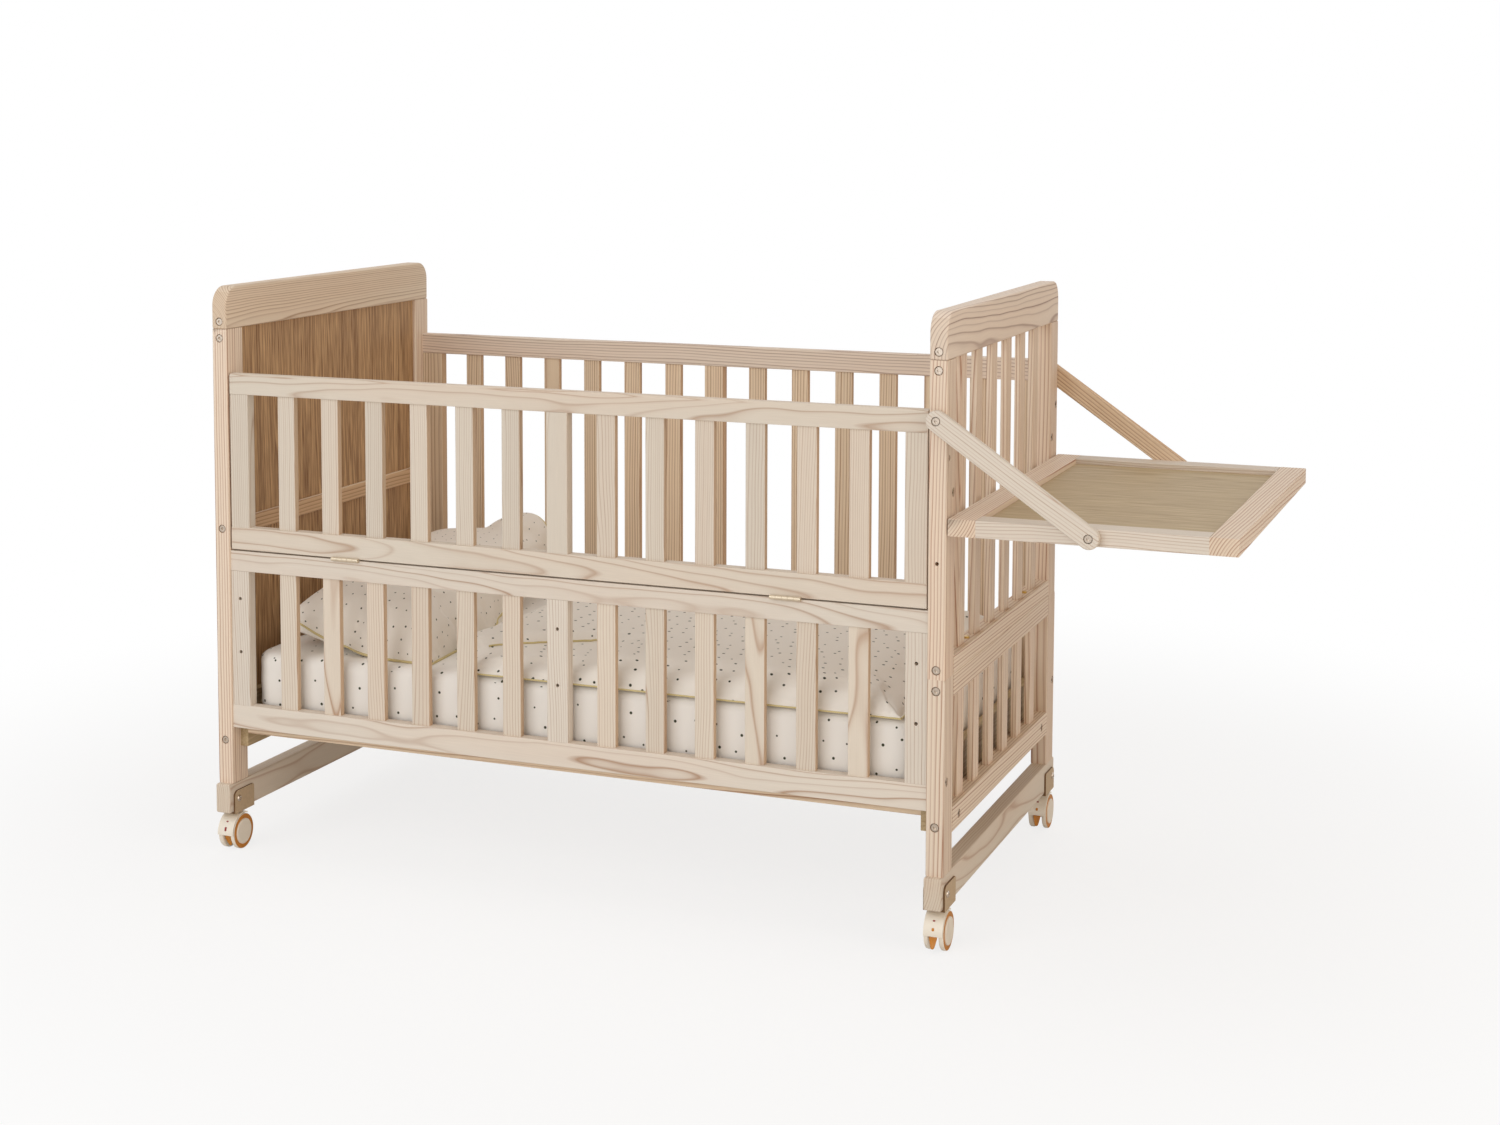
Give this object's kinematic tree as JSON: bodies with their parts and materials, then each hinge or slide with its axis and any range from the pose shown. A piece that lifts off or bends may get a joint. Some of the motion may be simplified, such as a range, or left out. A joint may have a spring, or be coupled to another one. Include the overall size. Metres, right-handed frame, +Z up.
{
  "type": "crib with attached changer",
  "caption": "Slatted wooden crib on braked castors, with a panelled head end, a fold-down gate, bedding and a strutted changing tray on its foot end.",
  "frame": {"origin": "middle of the object's outline on the floor", "axes": "+X from the head end to the changing tray, +Y from the gate side to the back panel, +Z up"},
  "size_m": [1.712, 0.726, 0.97],
  "materials": {
    "pine": "raw sanded pine, unpainted",
    "plywood": "matt brown plywood veneer",
    "mattress_cover": "woven cotton cover",
    "bedding_fabric": "soft cotton with olive piping",
    "hinge_steel": "plated steel",
    "bracket_steel": "champagne coated steel",
    "bolt_steel": "zinc plated",
    "brass_screws": "yellow passivated",
    "castor_plastic": "cream moulded plastic",
    "pedal_plastic": "orange moulded plastic"
  },
  "bodies": {
    "frame": {"head_top_rail": "pine", "head_stiles": "pine", "head_mid_rail": "pine", "head_bottom_rail": "pine", "head_panels": "plywood", "head_runner": "pine", "foot_top_rail": "pine", "foot_upper_stiles": "pine", "foot_upper_bottom_rail": "pine", "foot_upper_slats": "pine", "foot_lower_top_rail": "pine", "foot_lower_stiles": "pine", "foot_lower_bottom_rail": "pine", "foot_lower_slats": "pine", "foot_runner": "pine", "front_rails": "pine", "front_stiles": "pine", "front_slats": "pine", "back_rails": "pine", "back_stiles": "pine", "back_slats": "pine", "gate_hinge_fixed_leaves": "hinge_steel", "base_end_boards": "plywood", "base_side_rails": "pine", "base_slats": "pine", "mattress": "mattress_cover", "pillow": "bedding_fabric", "quilt": "bedding_fabric", "tray_end_rails": "pine", "tray_side_rails": "pine", "tray_panel": "plywood", "tray_bolts": "bolt_steel", "tray_spacers": "bolt_steel", "strut_front": "pine", "strut_back": "pine", "strut_bolts": "bolt_steel", "frame_bolts": "bolt_steel", "section_screws": "brass_screws", "castor_brackets": "bracket_steel", "bracket_bolts": "bolt_steel"},
    "gate": {"gate_rails": "pine", "gate_stiles": "pine", "gate_slats": "pine", "gate_hinge_moving_leaves": "hinge_steel"},
    "latch_left": {"gate_latch_left": "bolt_steel"},
    "latch_right": {"gate_latch_right": "bolt_steel"},
    "castor_lf": {"castor_hood_lf": "castor_plastic"},
    "wheels_lf": {"castor_wheels_lf": "castor_plastic"},
    "pedal_lf": {"castor_pedal_lf": "pedal_plastic"},
    "castor_lb": {"castor_hood_lb": "castor_plastic"},
    "wheels_lb": {"castor_wheels_lb": "castor_plastic"},
    "pedal_lb": {"castor_pedal_lb": "pedal_plastic"},
    "castor_rf": {"castor_hood_rf": "castor_plastic"},
    "wheels_rf": {"castor_wheels_rf": "castor_plastic"},
    "pedal_rf": {"castor_pedal_rf": "pedal_plastic"},
    "castor_rb": {"castor_hood_rb": "castor_plastic"},
    "wheels_rb": {"castor_wheels_rb": "castor_plastic"},
    "pedal_rb": {"castor_pedal_rb": "pedal_plastic"}
  },
  "joints": [
    {"name": "gate_fold", "type": "hinge", "parent": "frame", "child": "gate", "pos_m": [-0.21, -0.3487, 0.52375], "axis": [1, 0, 0], "range_deg": [0, 180]},
    {"name": "latch_left_slide", "type": "slide", "parent": "gate", "child": "latch_left", "axis": [-1, 0, 0], "range_m": [0, 0.014]},
    {"name": "latch_right_slide", "type": "slide", "parent": "gate", "child": "latch_right", "axis": [1, 0, 0], "range_m": [0, 0.014]},
    {"name": "swivel_lf", "type": "hinge", "parent": "frame", "child": "castor_lf", "pos_m": [-0.836, -0.3235, 0.06], "axis": [0, 0, 1], "continuous": true},
    {"name": "roll_lf", "type": "hinge", "parent": "castor_lf", "child": "wheels_lf", "pos_m": [-0.836, -0.3205, 0.03], "axis": [1, 0, 0], "continuous": true},
    {"name": "brake_lf", "type": "hinge", "parent": "castor_lf", "child": "pedal_lf", "pos_m": [-0.836, -0.3425, 0.034], "axis": [1, 0, 0], "range_deg": [-40, 0]},
    {"name": "swivel_lb", "type": "hinge", "parent": "frame", "child": "castor_lb", "pos_m": [-0.836, 0.3235, 0.06], "axis": [0, 0, 1], "continuous": true},
    {"name": "roll_lb", "type": "hinge", "parent": "castor_lb", "child": "wheels_lb", "pos_m": [-0.836, 0.3265, 0.03], "axis": [1, 0, 0], "continuous": true},
    {"name": "brake_lb", "type": "hinge", "parent": "castor_lb", "child": "pedal_lb", "pos_m": [-0.836, 0.3045, 0.034], "axis": [1, 0, 0], "range_deg": [0, 40]},
    {"name": "swivel_rf", "type": "hinge", "parent": "frame", "child": "castor_rf", "pos_m": [0.416, -0.3235, 0.06], "axis": [0, 0, 1], "continuous": true},
    {"name": "roll_rf", "type": "hinge", "parent": "castor_rf", "child": "wheels_rf", "pos_m": [0.416, -0.3205, 0.03], "axis": [1, 0, 0], "continuous": true},
    {"name": "brake_rf", "type": "hinge", "parent": "castor_rf", "child": "pedal_rf", "pos_m": [0.416, -0.3425, 0.034], "axis": [1, 0, 0], "range_deg": [0, 40]},
    {"name": "swivel_rb", "type": "hinge", "parent": "frame", "child": "castor_rb", "pos_m": [0.416, 0.3235, 0.06], "axis": [0, 0, 1], "continuous": true},
    {"name": "roll_rb", "type": "hinge", "parent": "castor_rb", "child": "wheels_rb", "pos_m": [0.416, 0.3265, 0.03], "axis": [1, 0, 0], "continuous": true},
    {"name": "brake_rb", "type": "hinge", "parent": "castor_rb", "child": "pedal_rb", "pos_m": [0.416, 0.3045, 0.034], "axis": [1, 0, 0], "range_deg": [0, 40]}
  ]
}
